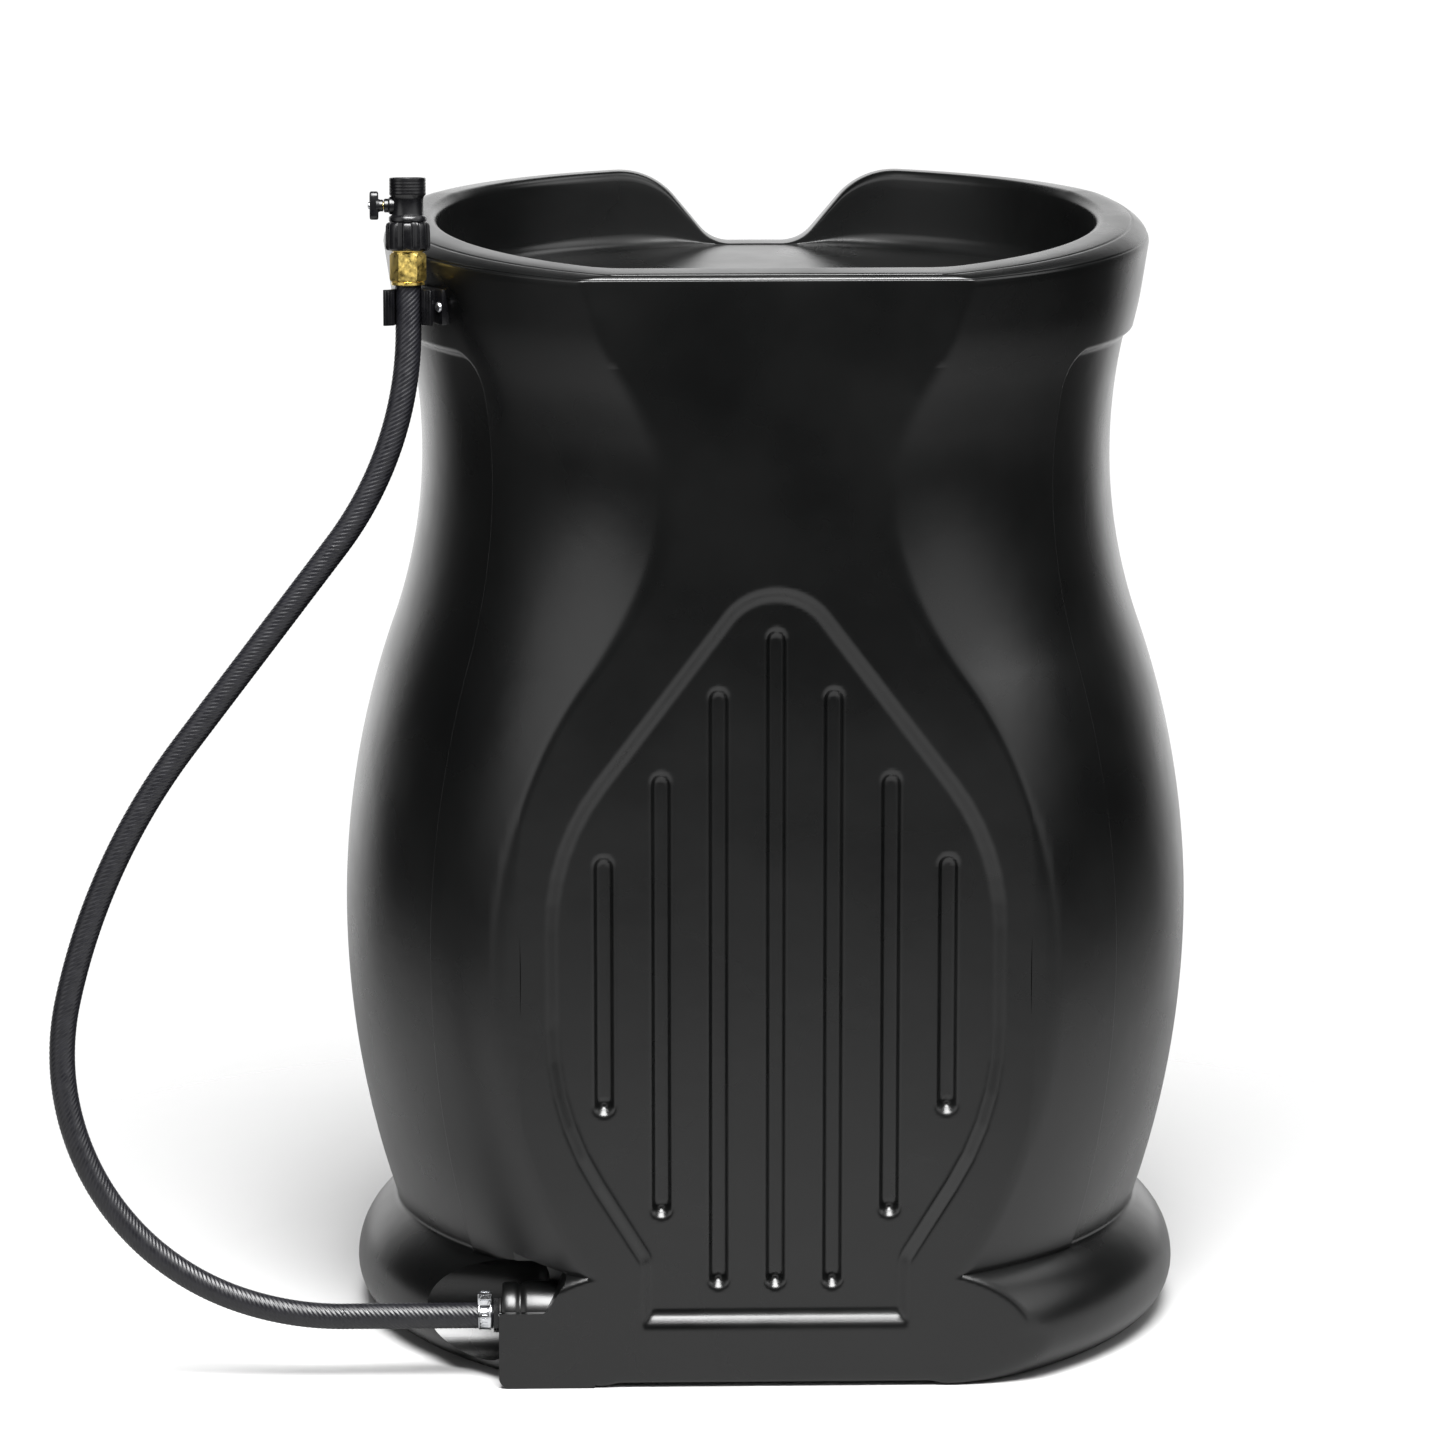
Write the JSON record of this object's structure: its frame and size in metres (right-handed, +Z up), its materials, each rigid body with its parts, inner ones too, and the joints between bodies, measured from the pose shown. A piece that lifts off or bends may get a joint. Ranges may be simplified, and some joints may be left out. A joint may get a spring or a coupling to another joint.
{
  "type": "rain barrel",
  "caption": "Flat-backed urn-shaped rain barrel with a recessed, screened inlet basin, overflow notch, and a clipped outlet hose ending in a ball shut-off valve.",
  "frame": {"origin": "on the barrel's axis at floor level", "axes": "+Z up, the flat back faces -Y, the overflow notch faces +Y, the hose is on -X"},
  "size_m": [0.8467, 0.5655, 0.8778],
  "materials": {
    "moulded_black": "satin, fine moulded grain",
    "deep_black_plastic": "semi-gloss injection moulded",
    "hose_rubber": "braid-textured, satin",
    "seal_rubber": "matte",
    "stainless": "bright rolled strip",
    "zinc_screw": "zinc plated",
    "brass": "turned, bright",
    "seat_ptfe": "matte white",
    "strainer": "perforated sheet"
  },
  "bodies": {
    "barrel": {"barrel_shell": "moulded_black", "outlet_insert": "brass", "outlet_oring": "seal_rubber", "outlet_fitting": "deep_black_plastic", "hose_clip": "deep_black_plastic", "clip_screws": "zinc_screw"},
    "debris_basket": {"screen_frame": "deep_black_plastic", "screen_mesh": "strainer"},
    "hose_assembly": {"hose": "hose_rubber", "clamp_band": "stainless", "clamp_housing": "stainless", "brass_coupling": "brass", "coupling_washer": "seal_rubber", "valve_body": "deep_black_plastic", "valve_tail": "deep_black_plastic", "ball_seats": "seat_ptfe"},
    "clamp_worm": {"clamp_screw": "stainless"},
    "hose_nut": {"swivel_nut": "deep_black_plastic"},
    "valve_turn": {"valve_ball": "brass", "valve_stem": "brass", "stem_oring": "seal_rubber", "valve_handle": "deep_black_plastic", "handle_screw": "zinc_screw"}
  },
  "joints": [
    {"name": "basket_lift", "type": "slide", "parent": "barrel", "child": "debris_basket", "axis": [0, 0, 1], "range_m": [0, 0.08]},
    {"name": "hose_swing", "type": "hinge", "parent": "barrel", "child": "hose_assembly", "pos_m": [-0.215, -0.217, 0.047], "axis": [1, 0, 0], "range_deg": [0, 84]},
    {"name": "clamp_worm_turn", "type": "hinge", "parent": "hose_assembly", "child": "clamp_worm", "pos_m": [-0.2125, -0.21577, 0.06054], "axis": [0, -0.9959, 0.0908], "continuous": true},
    {"name": "nut_turn", "type": "hinge", "parent": "hose_assembly", "child": "hose_nut", "pos_m": [-0.263, -0.14528, 0.83374], "axis": [0, 0.0908, 0.9959], "continuous": true},
    {"name": "valve_quarter_turn", "type": "hinge", "parent": "hose_assembly", "child": "valve_turn", "pos_m": [-0.263, -0.14319, 0.85664], "axis": [-1, 0, 0], "range_deg": [0, 90]}
  ]
}
